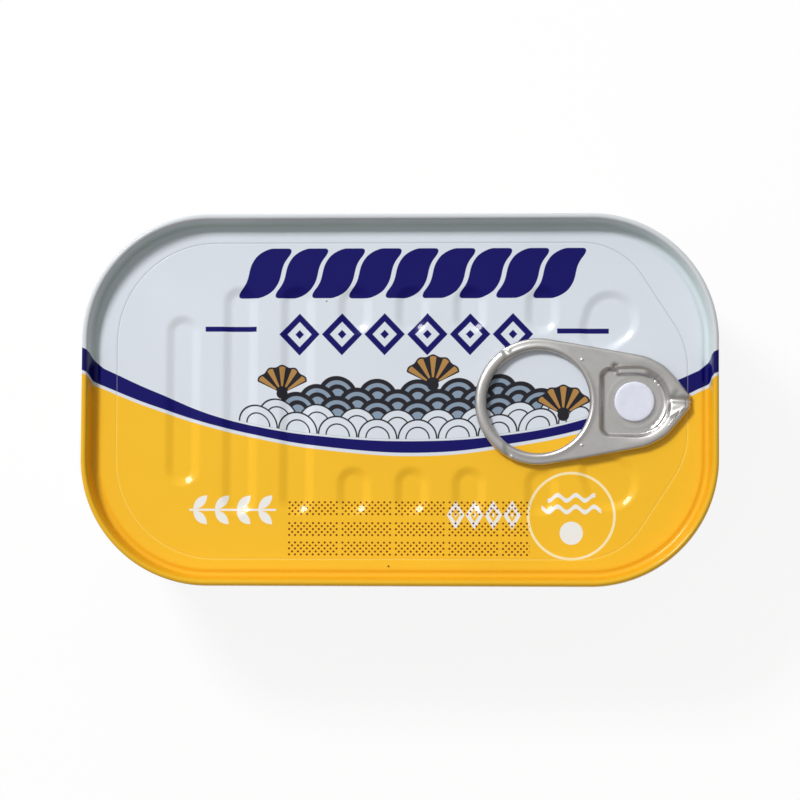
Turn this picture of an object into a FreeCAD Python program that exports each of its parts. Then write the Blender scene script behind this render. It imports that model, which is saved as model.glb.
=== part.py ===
import FreeCAD, Part
import math
import os

from FreeCAD import Vector

# A shut quarter-club fish tin: a drawn body, an easy-open end seamed on to it, and a ring pull.
# Millimetres. The origin is the middle of the base, on the surface that the tin stands on.
# +Z points up out of the end, and +X along the tin towards the nose of the ring pull.

# Whole tin, measured over the double seam.
tin_length = 105.0
tin_width = 61.4
tin_height = 28.6
corner_radius = 21.0        # outside of the seam, seen from above
sheet = 0.25                # metal of the end

# Double seam, where the end is rolled over the flange of the body.
seam_thickness = 1.2
seam_height = 2.9
hook_recess = 0.3           # the body's hook stops this far above the lower edge of the seam

# Chuck wall and countersink, down from the seam, and the panel inside them.
countersink_depth = 4.1     # top of the seam to the floor of the countersink
chuck_lean = 0.35           # how far the chuck wall leans inwards
countersink_radius = 0.5
panel_rise = 0.8            # floor of the countersink up to the panel
panel_edge_radius = 0.45

# Score line that the end tears along, cut square across at the nose end.
score_inset = 4.5           # from the outside of the seam, along the long sides
score_end_inset = 5.3       # the same, at the two short ends
score_width = 0.3
score_depth = 0.1
score_slant_length = 10.7   # how far the slanted corners reach back along the tin
score_nose_width = 18.2     # straight stretch of the score in front of the nose
score_slant_radius = 12.0
score_nose_radius = 14.0

# Stiffening beads pressed down into the panel.
bead_width = 6.2
bead_wall = 1.1             # how far a bead's wall runs in from its edge
bead_depth = 0.55
bead_pitch = 9.5
first_bead_inset = 16.5     # from the far end of the tin
first_bead_length = 28.8
long_bead_length = 38.5
long_beads = 2              # columns after the first that run right across; the rest are cut in two
split_bead_length = 8.6
ring_bead_ahead = 0.5       # last column, beside the ring of the pull and a little ahead of its middle
round_bead_radius = 5.0
round_bead_behind = 4.2     # round bead, behind the rivet
round_bead_y = 13.4

# Rivet, drawn up out of the panel, behind the nose of the pull.
nose_overhang = 0.7         # tip of the nose beyond the score
nose_to_rivet = 9.2
rivet_shank_radius = 2.3
rivet_head_radius = 3.3
rivet_head_thickness = 0.45
rivet_hole_clearance = 0.05

# Ring pull.
rivet_to_ring = 15.8
ring_outer_radius = 10.45
ring_band = 1.95            # metal round the finger hole
shoulder_behind = 0.5       # centre of the round shoulder, behind the rivet
floor_margin = 2.3          # sunk floor left free round the rivet's head
nose_radius = 1.0
pull_height = 1.6           # panel to the top of the curled rim
pull_lift = 0.3             # the curled rim clears the panel by this
pull_edge_radius = 0.55
hole_edge_radius = 0.4
rim_width = 2.2             # curled rim beside the sunk floor
floor_thickness = 0.6       # sunk floor that lies on the panel under the rivet's head
floor_web = 1.6             # metal between the finger hole and the sunk floor
floor_corner_radius = 1.6
dimple_gap = 1.7            # finger hole to the middle of each dimple
dimple_radius = 0.35
dimple_depth = 0.15

# Body.
body_sheet = 0.3            # metal of the body where it goes up into the seam
wall_taper = 0.9            # how far the wall leans in, from the seam down to its foot
foot_radius = 2.0
foot_ring_width = 1.2       # flat ring that the tin stands on
base_recess = 0.8           # base panel above the foot ring
base_slope = 0.8
base_step_inset = 3.0       # second step of the base, inside the first
base_step_depth = 0.4

# Levels and places that follow from the sizes above.
seam_bottom = tin_height - seam_height
roll_radius = seam_thickness / 2
roll_z = tin_height - roll_radius
countersink_floor = tin_height - countersink_depth
countersink_top = countersink_floor + countersink_radius
panel_z = countersink_floor + panel_rise
panel_under = panel_z - sheet
chuck_foot = seam_thickness + chuck_lean
countersink_middle = chuck_foot + countersink_radius
panel_wall = chuck_foot + 2 * countersink_radius
panel_edge = panel_wall + panel_edge_radius
chuck_slope = chuck_lean / (roll_z - countersink_top)
wall_top = seam_thickness - sheet + chuck_slope * (roll_z - seam_bottom) - body_sheet
wall_foot = wall_top + wall_taper
foot_outer = wall_foot + foot_radius
foot_inner = foot_outer + foot_ring_width
base_edge = foot_inner + base_slope
core_inset = base_edge + 1.0
floor_top = panel_z + floor_thickness
score_end = tin_length / 2 - score_end_inset
nose_x = score_end + nose_overhang
rivet_x = nose_x - nose_to_rivet
ring_x = rivet_x - rivet_to_ring
shoulder_x = rivet_x - shoulder_behind
shoulder_radius = rivet_head_radius + floor_margin + rim_width
finger_hole_radius = ring_outer_radius - ring_band
floor_back_x = ring_x + finger_hole_radius + floor_web
corner_x = tin_length / 2 - corner_radius
corner_y = tin_width / 2 - corner_radius
UP = Vector(0, 0, 1)


def point(inset, z):
    """A point of the rim's section: inset from the outside of the seam, and its height."""
    return Vector(corner_radius - inset, 0, z)


def line(a, b):
    return Part.makeLine(point(*a), point(*b))


def arc(a, middle, b):
    return Part.Arc(point(*a), point(*middle), point(*b)).toShape()


def quarter_arc(a, centre, b, radius):
    """A quarter circle from a to b about centre, in the rim's section."""
    lean = radius * math.sqrt(0.5)
    way_u = math.copysign(1, a[0] + b[0] - 2 * centre[0])
    way_z = math.copysign(1, a[1] + b[1] - 2 * centre[1])
    return arc(a, (centre[0] + way_u * lean, centre[1] + way_z * lean), b)


def around_the_rim(edges):
    """Carry a section once round the tin: a turned piece at each corner, a straight one between."""
    section = Part.Face(Part.Wire(Part.sortEdges(edges)[0]))
    pieces = []
    corners = [(corner_x, corner_y), (-corner_x, corner_y), (-corner_x, -corner_y), (corner_x, -corner_y)]
    for turn, (x, y) in enumerate(corners):
        start = section.copy()
        start.rotate(Vector(0, 0, 0), UP, 90 * turn)
        start.translate(Vector(x, y, 0))
        pieces.append(start.revolve(Vector(x, y, 0), UP, 90))
        end = section.copy()
        end.rotate(Vector(0, 0, 0), UP, 90 * (turn + 1))
        end.translate(Vector(x, y, 0))
        run = 2 * (corner_x if turn % 2 == 0 else corner_y)
        along = [Vector(-run, 0, 0), Vector(0, -run, 0), Vector(run, 0, 0), Vector(0, run, 0)][turn]
        pieces.append(end.extrude(along))
    return pieces


def rounded_wire(length, width, radius, x=0.0, y=0.0, z=0.0):
    """A rectangle with round corners; with radius at half the width it has round ends."""
    half_x = length / 2 - radius
    half_y = width / 2 - radius
    lean = radius * math.sqrt(0.5)
    edges = []
    for turn in range(4):
        side_x, side_y = [(1, 1), (-1, 1), (-1, -1), (1, -1)][turn]
        centre = Vector(x + side_x * half_x, y + side_y * half_y, z)
        spokes = [Vector(radius, 0, 0), Vector(0, radius, 0), Vector(-radius, 0, 0), Vector(0, -radius, 0)]
        start = centre + spokes[turn]
        end = centre + spokes[(turn + 1) % 4]
        edges.append(Part.Arc(start, centre + Vector(side_x * lean, side_y * lean, 0), end).toShape())
        run = 2 * (half_x if turn % 2 == 0 else half_y)
        step = [Vector(-run, 0, 0), Vector(0, -run, 0), Vector(run, 0, 0), Vector(0, run, 0)][turn]
        if run > 1e-6:
            edges.append(Part.makeLine(end, end + step))
    return Part.Wire(edges)


def inset_wire(inset, z):
    """The tin's outline, moved inwards."""
    return rounded_wire(tin_length - 2 * inset, tin_width - 2 * inset, corner_radius - inset, z=z)


def slab(inset, low, high):
    return Part.Face(inset_wire(inset, low)).extrude(Vector(0, 0, high - low))


def fuse(shapes):
    return shapes[0].multiFuse(shapes[1:]).removeSplitter()


def one_solid(shape):
    """The shape as a bare solid, after checking that it is one whole piece."""
    if len(shape.Solids) != 1 or not shape.isValid():
        raise ValueError("expected one valid solid, found %d" % len(shape.Solids))
    return shape.Solids[0]


def end_underside():
    """The lower face of the end's metal from the outer roll to the flat panel."""
    inner_roll = roll_radius - sheet
    inner_trough = countersink_radius + sheet
    roll_out = (sheet, roll_z)
    roll_in = (seam_thickness - sheet, roll_z)
    trough_out = (chuck_foot - sheet, countersink_top)
    trough_in = (panel_wall + sheet, countersink_top)
    edge_low = (panel_wall + sheet, panel_z - panel_edge_radius)
    edge_high = (panel_edge, panel_under)
    return [
        arc(roll_out, (roll_radius, roll_z + inner_roll), roll_in),
        line(roll_in, trough_out),
        arc(trough_out, (countersink_middle, countersink_top - inner_trough), trough_in),
        line(trough_in, edge_low),
        quarter_arc(edge_low, (panel_edge, edge_low[1]), edge_high, panel_edge_radius - sheet),
    ]


def end_upside():
    """The upper face of the end's metal over the same stretch."""
    roll_out = (0, roll_z)
    roll_in = (seam_thickness, roll_z)
    trough_out = (chuck_foot, countersink_top)
    trough_in = (panel_wall, countersink_top)
    edge_low = (panel_wall, panel_z - panel_edge_radius)
    edge_high = (panel_edge, panel_z)
    return [
        arc(roll_out, (roll_radius, tin_height), roll_in),
        line(roll_in, trough_out),
        arc(trough_out, (countersink_middle, countersink_floor), trough_in),
        line(trough_in, edge_low),
        quarter_arc(edge_low, (panel_edge, edge_low[1]), edge_high, panel_edge_radius),
    ]


def bead_places():
    """Each bead as x, y, length and width; a round bead is as long as it is wide."""
    first_x = first_bead_inset - tin_length / 2
    ring_bead_x = ring_x + ring_bead_ahead
    beads = [(first_x, 0.0, first_bead_length, bead_width)]
    for column in range(1, long_beads + 1):
        beads.append((first_x + column * bead_pitch, 0.0, long_bead_length, bead_width))
    first_split_x = first_x + (long_beads + 1) * bead_pitch
    split_beads = int((ring_bead_x - first_split_x) // bead_pitch)
    split_columns = [first_split_x + column * bead_pitch for column in range(split_beads)] + [ring_bead_x]
    split_y = (long_bead_length - split_bead_length) / 2
    round_size = 2 * round_bead_radius
    for side in (1, -1):
        for x in split_columns:
            beads.append((x, side * split_y, split_bead_length, bead_width))
        beads.append((rivet_x - round_bead_behind, side * round_bead_y, round_size, round_size))
    return beads


def bead_solid(x, y, length, width, grow, low):
    """The space of one bead below the panel, grown sideways by grow, with its floor at low."""
    half_top = width / 2 + grow
    half_low = half_top - bead_wall
    stretch = (length - width) / 2
    top = rounded_wire(2 * half_top, 2 * (half_top + stretch), half_top, x, y, panel_z)
    bottom = rounded_wire(2 * half_low, 2 * (half_low + stretch), half_low, x, y, low)
    return Part.makeLoft([top, bottom], True, True)


def bead_hollows():
    return [bead_solid(*bead, 0.0, panel_z - bead_depth) for bead in bead_places()]


def bead_cups():
    return [bead_solid(*bead, sheet, panel_under - bead_depth) for bead in bead_places()]


def filleted_wire(corners, z):
    """A closed outline through corners of x, y and radius, each rounded by an arc tangent to its sides."""
    starts, middles, ends = [], [], []
    count = len(corners)
    for i, (x, y, radius) in enumerate(corners):
        here = Vector(x, y, z)
        back = Vector(corners[i - 1][0], corners[i - 1][1], z) - here
        ahead = Vector(corners[(i + 1) % count][0], corners[(i + 1) % count][1], z) - here
        back.normalize()
        ahead.normalize()
        half_angle = back.getAngle(ahead) / 2
        reach = radius / math.tan(half_angle)
        bisector = back + ahead
        bisector.normalize()
        starts.append(here + back * reach)
        ends.append(here + ahead * reach)
        middles.append(here + bisector * (radius / math.sin(half_angle) - radius))
    edges = []
    for i in range(count):
        edges.append(Part.Arc(starts[i], middles[i], ends[i]).toShape())
        edges.append(Part.makeLine(ends[i], starts[(i + 1) % count]))
    return Part.Wire(edges)


def score_wire(grow):
    """The score's path, moved outwards by grow: round at the far end, with slanted corners by the nose."""
    side = tin_width / 2 - score_inset
    half_nose = score_nose_width / 2
    slant_run = side - half_nose
    slant = math.hypot(score_slant_length, slant_run)
    # Moved outwards, a slanted side also shifts where it meets its neighbours.
    side_x = score_end - score_slant_length + grow * (slant - score_slant_length) / slant_run
    nose_y = half_nose + grow * (slant - slant_run) / score_slant_length
    round_corner = corner_radius - score_inset + grow
    slant_corner = score_slant_radius + grow
    nose_corner = score_nose_radius + grow
    return filleted_wire([
        (side_x, side + grow, slant_corner),
        (-score_end - grow, side + grow, round_corner),
        (-score_end - grow, -side - grow, round_corner),
        (side_x, -side - grow, slant_corner),
        (score_end + grow, -nose_y, nose_corner),
        (score_end + grow, nose_y, nose_corner),
    ], panel_z - score_depth)


def score_groove():
    tall = Vector(0, 0, 2 * score_depth)
    outer = Part.Face(score_wire(score_width / 2)).extrude(tall)
    inner = Part.Face(score_wire(-score_width / 2)).extrude(tall)
    return outer.cut(inner)


def rivet():
    """Hollow-drawn shank and flat head, one metal with the panel."""
    middle = Vector(rivet_x, 0, panel_under)
    shank = Part.makeCylinder(rivet_shank_radius, floor_top - panel_under, middle)
    head = Part.makeCylinder(rivet_head_radius, rivet_head_thickness, Vector(rivet_x, 0, floor_top))
    crown = [edge for edge in head.Edges if edge.BoundBox.ZMin > floor_top + rivet_head_thickness / 2]
    head = head.makeFillet(rivet_head_thickness * 0.4, crown)
    return shank.fuse(head)


def make_lid():
    outside = line((0, seam_bottom), (0, roll_z))
    inside = line((sheet, roll_z), (sheet, seam_bottom))
    lower_lip = line((sheet, seam_bottom), (0, seam_bottom))
    join = line((panel_edge, panel_z), (panel_edge, panel_under))
    rim = around_the_rim([outside, *end_upside(), join, *end_underside(), inside, lower_lip])
    panel = slab(panel_edge, panel_under, panel_z)
    lid = fuse([*rim, panel, *bead_cups(), rivet()])
    return one_solid(lid.cut([*bead_hollows(), score_groove()]).removeSplitter())


def make_body():
    """The drawn body with its hook in the seam, filled up to the underside of the end."""
    hook_z = seam_bottom + hook_recess
    inner_core = (core_inset, panel_under)
    foot_out = (foot_outer, 0)
    wall_low = (wall_foot, foot_radius)
    wall_high = (wall_top, hook_z)
    rim = around_the_rim([
        line((core_inset, base_recess), (base_edge, base_recess)),
        line((base_edge, base_recess), (foot_inner, 0)),
        line((foot_inner, 0), foot_out),
        quarter_arc(foot_out, (foot_outer, foot_radius), wall_low, foot_radius),
        line(wall_low, wall_high),
        line(wall_high, (sheet, hook_z)),
        line((sheet, hook_z), (sheet, roll_z)),
        *end_underside(),
        line((panel_edge, panel_under), inner_core),
        line(inner_core, (core_inset, base_recess)),
    ])
    core = slab(core_inset, base_recess, panel_under)
    step = slab(base_edge + base_step_inset, base_recess, base_recess + base_step_depth)
    body = fuse([*rim, core])
    return one_solid(body.cut([step, *bead_cups()]).removeSplitter())


def pull_point(centre_x, radius, angle, z):
    return Vector(centre_x + radius * math.cos(angle), radius * math.sin(angle), z)


def tangent_angle(x_a, radius_a, x_b, radius_b):
    """Where the upper common tangent of two circles on the pull's centre line touches them."""
    return math.acos((radius_a - radius_b) / (x_b - x_a))


def pull_arc(centre_x, radius, start, end, z):
    return Part.Arc(
        pull_point(centre_x, radius, start, z),
        pull_point(centre_x, radius, (start + end) / 2, z),
        pull_point(centre_x, radius, end, z),
    ).toShape()


def pull_wire(z):
    """Ring, straight tapering sides, round shoulder and pointed nose."""
    nose_centre = nose_x - nose_radius
    ring_angle = tangent_angle(ring_x, ring_outer_radius, shoulder_x, shoulder_radius)
    nose_angle = tangent_angle(shoulder_x, shoulder_radius, nose_centre, nose_radius)
    edges = [
        pull_arc(nose_centre, nose_radius, -nose_angle, nose_angle, z),
        pull_arc(shoulder_x, shoulder_radius, nose_angle, ring_angle, z),
        pull_arc(ring_x, ring_outer_radius, ring_angle, 2 * math.pi - ring_angle, z),
        pull_arc(shoulder_x, shoulder_radius, -ring_angle, -nose_angle, z),
    ]
    for i in range(4):
        end = edges[i].valueAt(edges[i].LastParameter)
        following = edges[(i + 1) % 4]
        edges.append(Part.makeLine(end, following.valueAt(following.FirstParameter)))
    return Part.Wire(Part.sortEdges(edges)[0])


def sunk_floor(low, high):
    """The space or pad of the D-shaped floor round the rivet."""
    ring = ring_outer_radius - rim_width
    shoulder = shoulder_radius - rim_width
    angle = tangent_angle(ring_x, ring, shoulder_x, shoulder)
    shoulder_end = pull_point(shoulder_x, shoulder, angle, low)
    ring_end = pull_point(ring_x, ring, angle, low)
    share = (floor_back_x - ring_end.x) / (shoulder_end.x - ring_end.x)
    back_y = ring_end.y + share * (shoulder_end.y - ring_end.y)
    back_high = Vector(floor_back_x, back_y, low)
    back_low = Vector(floor_back_x, -back_y, low)
    outline = Part.Wire([
        pull_arc(shoulder_x, shoulder, -angle, angle, low),
        Part.makeLine(shoulder_end, back_high),
        Part.makeLine(back_high, back_low),
        Part.makeLine(back_low, Vector(shoulder_end.x, -shoulder_end.y, low)),
    ])
    solid = Part.Face(outline).extrude(Vector(0, 0, high - low))
    back_corners = [edge for edge in solid.Edges if edge.BoundBox.XMax < floor_back_x + 0.01
                    and edge.BoundBox.ZLength > (high - low) / 2]
    return solid.makeFillet(floor_corner_radius, back_corners)


def make_pull():
    low = panel_z + pull_lift
    high = panel_z + pull_height
    blank = Part.Face(pull_wire(low)).extrude(Vector(0, 0, high - low))
    rolled = [edge for edge in blank.Edges if edge.BoundBox.ZLength < 0.01]
    blank = blank.makeFillet(min(pull_edge_radius, 0.45 * (high - low)), rolled)
    hole = Part.makeCylinder(finger_hole_radius, 2 * pull_height, Vector(ring_x, 0, panel_z))
    blank = blank.cut(hole)
    lips = [edge for edge in blank.Edges if edge.Curve.TypeId == "Part::GeomCircle"
            and abs(edge.Curve.Radius - finger_hole_radius) < 0.001]
    blank = blank.makeFillet(min(hole_edge_radius, 0.45 * (high - low)), lips)
    pull = blank.cut(sunk_floor(low - pull_lift, high + pull_lift)).fuse(sunk_floor(panel_z, floor_top))
    hole_radius = rivet_shank_radius + rivet_hole_clearance
    rivet_hole = Part.makeCylinder(hole_radius, pull_height, Vector(rivet_x, 0, panel_z))
    dimple_reach = (finger_hole_radius + dimple_gap) * math.sqrt(0.5)
    dimples = []
    for side in (1, -1):
        place = Vector(ring_x + dimple_reach, side * dimple_reach, high - dimple_depth)
        dimples.append(Part.makeCylinder(dimple_radius, pull_height, place))
    return one_solid(pull.cut([rivet_hole, *dimples]).removeSplitter())


os.makedirs("parts", exist_ok=True)
for name, make in (("can_body", make_body), ("lid", make_lid), ("pull_tab", make_pull)):
    shape = make()
    shape.exportStep("parts/" + name + ".step")
    print("%s: %.1f mm3, box %s" % (name, shape.Volume, shape.BoundBox))
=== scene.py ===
import math

import bmesh
import bpy
import numpy as np
from mathutils import Matrix, Vector


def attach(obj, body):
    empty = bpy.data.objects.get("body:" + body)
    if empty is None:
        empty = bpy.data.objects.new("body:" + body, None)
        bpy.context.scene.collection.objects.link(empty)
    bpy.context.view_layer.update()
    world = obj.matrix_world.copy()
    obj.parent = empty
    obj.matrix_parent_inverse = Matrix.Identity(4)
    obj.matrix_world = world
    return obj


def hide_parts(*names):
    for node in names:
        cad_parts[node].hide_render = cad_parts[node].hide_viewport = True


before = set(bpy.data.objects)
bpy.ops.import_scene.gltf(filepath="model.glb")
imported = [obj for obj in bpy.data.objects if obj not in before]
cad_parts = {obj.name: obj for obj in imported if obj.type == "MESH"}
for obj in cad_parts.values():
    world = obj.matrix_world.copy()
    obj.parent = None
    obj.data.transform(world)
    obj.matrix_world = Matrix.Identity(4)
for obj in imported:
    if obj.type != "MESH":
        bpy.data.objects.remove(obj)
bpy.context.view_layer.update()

# A shut oblong fish tin, seen almost straight down on its easy-open end.
# Sizes below are in millimetres, in the same frame as the CAD; meshes are scaled to metres at the end.

mm = 0.001
weldWithin = 0.0005  # in millimetres
up = Vector((0, 0, 1))


def reachingCircle(circles, way):
    return max(circles, key=lambda c: c[0] * way.x + c[1] * way.y + c[2])


def outlineLoop(bm, circles, inset, z, steps):
    # A loop round a band stretched over circles of x, y and radius, and the way out from each of its points.
    ring = bmesh.ops.create_circle(bm, segments=steps, radius=1.0)["verts"]
    bmesh.ops.rotate(bm, verts=ring, matrix=Matrix.Rotation(math.pi / steps, 3, "Z"))
    ways = {vert: vert.co.normalized() for vert in ring}
    placeLoop(ways, circles, inset, z, steps)
    return list(dict.fromkeys(edge for vert in ring for edge in vert.link_edges)), ways


def placeLoop(ways, circles, inset, z, steps):
    for vert, way in ways.items():
        x, y, radius = reachingCircle(circles, way)
        vert.co = Vector((x, y, z)) + way * (radius - inset) / math.cos(math.pi / steps)


def extrudeLoop(bm, edges, ways):
    # Extrudes a loop in place; the new points keep the ways of the old ones.
    grown = bmesh.ops.extrude_edge_only(bm, edges=edges)["geom"]
    fresh = {item for item in grown if isinstance(item, bmesh.types.BMVert)}
    newEdges = [item for item in grown if isinstance(item, bmesh.types.BMEdge)
                and item.verts[0] in fresh and item.verts[1] in fresh]
    newWays = {}
    for vert, way in ways.items():
        for edge in vert.link_edges:
            if edge.other_vert(vert) in fresh:
                newWays[edge.other_vert(vert)] = way
    return newEdges, newWays


def skinLoops(bm, circles, section, steps):
    # Carries a loop along a section of insets and heights, and returns the first and the last loop.
    edges, ways = outlineLoop(bm, circles, *section[0], steps)
    first = edges
    for inset, z in section[1:]:
        edges, ways = extrudeLoop(bm, edges, ways)
        placeLoop(ways, circles, inset, z, steps)
    return first, edges


def fillBetween(bm, *loops):
    edges = [edge for loop in loops for edge in loop]
    bmesh.ops.triangle_fill(bm, edges=edges, use_beauty=True, normal=up)


def arcSection(centre, radius, startDegrees, endDegrees, steps):
    # Points of a rounded stretch of a section, as inset and height.
    points = []
    for step in range(steps + 1):
        angle = math.radians(startDegrees + (endDegrees - startDegrees) * step / steps)
        points.append((centre[0] + radius * math.cos(angle), centre[1] + radius * math.sin(angle)))
    return points


def finishPiece(bm, name, material, cadNode=None):
    bmesh.ops.remove_doubles(bm, verts=bm.verts, dist=weldWithin)
    bmesh.ops.recalc_face_normals(bm, faces=bm.faces)
    bmesh.ops.scale(bm, verts=bm.verts, vec=(mm, mm, mm))
    for face in bm.faces:
        face.smooth = True
    mesh = bpy.data.meshes.new(name)
    bm.to_mesh(mesh)
    bm.free()
    mesh.materials.append(material)
    piece = bpy.data.objects.new(name, mesh)
    bpy.context.scene.collection.objects.link(piece)
    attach(piece, "root")
    if cadNode:
        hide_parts(cadNode)
    print(name, "made with", len(mesh.polygons), "faces")


def linear(red, green, blue):
    # An 8-bit screen colour as Blender's linear colour.
    def one(value):
        value = value / 255
        return value / 12.92 if value <= 0.04045 else ((value + 0.055) / 1.055) ** 2.4
    return one(red), one(green), one(blue), 1.0


def newMaterial(name):
    material = bpy.data.materials.new(name)
    material.use_nodes = True
    return material, material.node_tree, material.node_tree.nodes["Principled BSDF"]


def feed(tree, socket, value):
    if isinstance(value, bpy.types.NodeSocket):
        tree.links.new(value, socket)
    else:
        socket.default_value = value


def calculator(tree):
    # Math nodes as a function: calc("ADD", a, b) gives the node's output.
    def calc(operation, *values, clamp=False):
        node = tree.nodes.new("ShaderNodeMath")
        node.operation = operation
        node.use_clamp = clamp
        for socket, value in zip(node.inputs, values):
            feed(tree, socket, value)
        return node.outputs[0]
    return calc


def mixColour(tree, share, below, above):
    node = tree.nodes.new("ShaderNodeMix")
    node.data_type = "RGBA"
    feed(tree, node.inputs["Factor"], share)
    feed(tree, node.inputs["A"], below)
    feed(tree, node.inputs["B"], above)
    return node.outputs["Result"]


def meshShare(tree, name):
    node = tree.nodes.new("ShaderNodeAttribute")
    node.attribute_type = "GEOMETRY"
    node.attribute_name = name
    return node.outputs["Fac"]


def multiplied(tree, first, second):
    node = tree.nodes.new("ShaderNodeMix")
    node.data_type = "RGBA"
    node.blend_type = "MULTIPLY"
    node.inputs["Factor"].default_value = 1.0
    tree.links.new(first, node.inputs["A"])
    tree.links.new(second, node.inputs["B"])
    return node.outputs["Result"]


def noise(tree, place, scale, detail=2.0, roughness=0.5):
    node = tree.nodes.new("ShaderNodeTexNoise")
    node.inputs["Scale"].default_value = scale
    node.inputs["Detail"].default_value = detail
    node.inputs["Roughness"].default_value = roughness
    tree.links.new(place, node.inputs["Vector"])
    return node.outputs["Fac"]


def stretched(tree, place, scale):
    node = tree.nodes.new("ShaderNodeMapping")
    node.inputs["Scale"].default_value = scale
    tree.links.new(place, node.inputs["Vector"])
    return node.outputs["Vector"]


def objectPlace(tree):
    return tree.nodes.new("ShaderNodeTexCoord").outputs["Object"]


def spread(calc, value, low, high):
    # A noise value carried from its middle range to low and high.
    return calc("MULTIPLY_ADD", value, high - low, low)


def addBump(tree, shader, height, strength, distance):
    bump = tree.nodes.new("ShaderNodeBump")
    bump.inputs["Strength"].default_value = strength
    bump.inputs["Distance"].default_value = distance
    tree.links.new(height, bump.inputs["Height"])
    tree.links.new(bump.outputs["Normal"], shader.inputs["Normal"])


lacquer = {
    "white": linear(217, 223, 232),
    "yellow": linear(245, 190, 42),
    "navy": linear(9, 5, 98),
    "brown": linear(114, 42, 4),
    "markWhite": linear(237, 236, 231),
    "cream": linear(250, 233, 184),
    "dark": linear(34, 33, 40),
    "steel": linear(134, 152, 172),
    "ochre": linear(176, 132, 74),
    "speck": linear(92, 62, 20),
    "specks": [(-1.66, -27.36, 0.17), (-12.2, 16.5, 0.12)],
    "thinShare": 0.55, "thinOnWhite": linear(150, 154, 158), "thinOnYellow": linear(255, 226, 130),
    # Painted shade on the chuck wall, greenish on the white and brown on the yellow, then a darker tone on
    # the seam's crest and outside
    "paintedWallShade": [(0.86, 0.93, 0.87, 1), (0.9, 0.8, 0.64, 1)],
    "crestTint": [(0.89, 0.88, 0.84, 1), (0.86, 0.84, 0.8, 1)],
    "edgeSoftness": 0.045,
    "sweepFlare": 0.7, "whiteLine": 0.55,
    # Upper and lower edge of the navy sweep: x across the end, y at that x.
    "sweepTop": [(-62, 10.9), (-49.3, 5.35), (-40.4, 1.35), (-26.6, -3.66), (-10, -6.2), (4, -6.7),
                 (16, -5.9), (29, -3.5), (46.2, 3.57), (49.3, 4.95), (62, 10.4)],
    "sweepLow": [(-62, 7.9), (-49.3, 2.45), (-40.4, -1.03), (-26.6, -5.08), (-10, -7.9), (5, -8.6),
                 (18.6, -7.07), (29.5, -4.9), (47.5, 1.1), (49.3, 1.95), (62, 7.4)],
    "ropeCentre": (1.95, 21.15), "ropeHalf": (27.6, 4.15), "ropePitch": 6.1, "ropeLean": 0.62,
    "ropeSway": 0.55, "ropeStrands": 9, "ropeGap": 0.75, "ropeRound": 1.5,
    "diamondCentre": (1.0, 11.0), "diamondHalf": (3.35, 3.5), "diamondPitch": 7.07, "diamonds": 6,
    "diamondHollow": 0.6, "diamondSlant": 0.72, "diamondHeart": 0.36,
    "dashes": [(-28.05, 11.87), (30.2, 11.5)], "dashHalf": (4.25, 0.42),
    "swellMiddle": 3.0, "swellAbove": 0.35, "wavesAcross": 9, "waveRadius": 3.3, "waveRise": 1.65,
    "waveRows": 5, "paleRows": 2,
    # Rings inside a wave, as a share of its radius and a colour
    "waveBands": [(0.78, "steel"), (0.58, "dark"), (0.36, "steel")],
    "paleBands": [(0.92, "white"), (0.62, "dark"), (0.55, "white")],
    "shells": [(-19.5, 1.2, 4.6), (5.5, 2.6, 4.9), (27.0, -2.4, 4.9)],
    "shellRibs": 13.0, "ribScallop": 0.16, "ribGap": 0.4, "shellTurn": 1.12, "shellInnerTurn": 1.06,
    "shellLine": 0.28, "hingeShare": 0.2, "hingeClear": 0.26,
    "sprigCentre": (-27.5, -18.1), "sprigHalf": 7.2, "stemHalf": 0.17,
    "leafPitch": 3.6, "leafOut": 1.25, "leafHalf": 0.72, "leafReach": 2.6,
    "smallDiamondCentre": (14.0, -18.9), "smallDiamondHalf": (1.45, 2.4), "smallDiamondPitch": 3.1,
    "smallDiamonds": 4, "smallHollow": 0.5,
    "roundel": (28.35, -19.03, 7.07), "roundelLine": 0.41,
    "ripples": [(3.0, 3.9), (1.1, 4.9)], "rippleRate": 2.1, "rippleRise": 0.45, "rippleHalf": 0.36,
    "discDrop": 2.8, "discRadius": 1.9,
    "dotsLeft": -18.35, "dotsRight": 21.5, "dotStrips": [-17.8, -21.25, -24.45], "dotPitch": 0.49,
    "dotRadius": 0.36, "dotRows": 5, "dotRun": 18.0, "dotRunInked": 16.5,
}


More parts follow.
